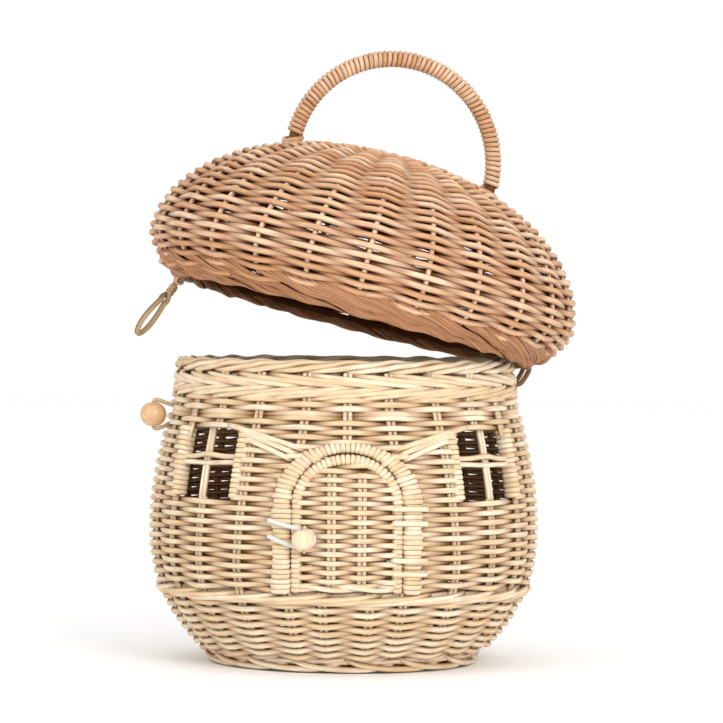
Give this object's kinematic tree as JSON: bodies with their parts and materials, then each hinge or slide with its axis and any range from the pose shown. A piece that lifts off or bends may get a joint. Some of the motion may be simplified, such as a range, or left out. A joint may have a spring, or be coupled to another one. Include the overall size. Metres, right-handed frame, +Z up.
{
  "type": "lidded rattan basket",
  "caption": "Round woven basket shaped like a mushroom house, with a hinged domed lid and arch handle, a small opening door, two barred windows and a loop and bead latch.",
  "frame": {"origin": "centre of the flat underside of the base", "axes": "+Z up the basket's axis, the door faces -Y, the lid's hinge is near +X and its latch near -X"},
  "size_m": [0.2536, 0.2544, 0.3542],
  "materials": {
    "pale_cane": "natural pale rattan cane, satin, with yellow and pink streaks",
    "tan_cane": "stained tan rattan cane, satin",
    "dark_cane": "orange-brown stained cane, packed tight",
    "pale_bead": "smooth turned wooden bead, pale",
    "tan_bead": "smooth turned wooden bead, orange-tan",
    "white_elastic": "off-white braided elastic cord"
  },
  "bodies": {
    "pot": {"base_disc": "pale_cane", "foot_border": "pale_cane", "lower_wall": "pale_cane", "sill_waling": "pale_cane", "middle_wall": "pale_cane", "upper_wall": "pale_cane", "rim_border": "pale_cane", "door_frame": "pale_cane", "window_left_upright": "pale_cane", "window_left_crossbar": "pale_cane", "window_right_upright": "pale_cane", "window_right_crossbar": "pale_cane", "latch_bead": "tan_bead", "latch_bead_tie": "tan_cane", "elastic_loop": "white_elastic", "door_lashing_1": "pale_cane", "door_lashing_2": "pale_cane", "door_lashing_3": "pale_cane", "door_lashing_4": "pale_cane", "lid_loop_front": "tan_cane", "lid_loop_back": "tan_cane", "lid_loop_inner": "tan_cane"},
    "door": {"door_panel": "pale_cane", "door_binding": "pale_cane", "door_knob": "pale_bead", "door_knob_tie": "pale_cane"},
    "lid": {"lip_border": "dark_cane", "cap_curl": "tan_cane", "cap_dome": "tan_cane", "cap_crown": "tan_cane", "handle_core": "tan_cane", "handle_wrapping": "tan_cane", "handle_collar_left": "tan_cane", "handle_collar_right": "tan_cane", "loop_anchor": "tan_cane"},
    "latch_loop": {"latch_loop_strand": "tan_cane", "latch_loop_whipping": "tan_cane"}
  },
  "joints": [
    {"name": "lid_hinge", "type": "hinge", "parent": "pot", "child": "lid", "pos_m": [0.10341, 0.01823, 0.17099], "axis": [-0.1736, 0.9848, 0], "range_deg": [-14.3, 90], "deforming": ["lid_loop_front", "lid_loop_back", "lid_loop_inner"]},
    {"name": "door_hinge", "type": "hinge", "parent": "pot", "child": "door", "pos_m": [0.03195, -0.11068, 0.085], "axis": [0, 0, 1], "range_deg": [0, 100], "deforming": ["door_lashing_1", "door_lashing_2", "door_lashing_3", "door_lashing_4", "elastic_loop"]},
    {"name": "loop_swing", "type": "hinge", "parent": "lid", "child": "latch_loop", "pos_m": [-0.09652, -0.01702, 0.21872], "axis": [-0.1736, 0.9848, 0], "range_deg": [-16, 75]}
  ]
}
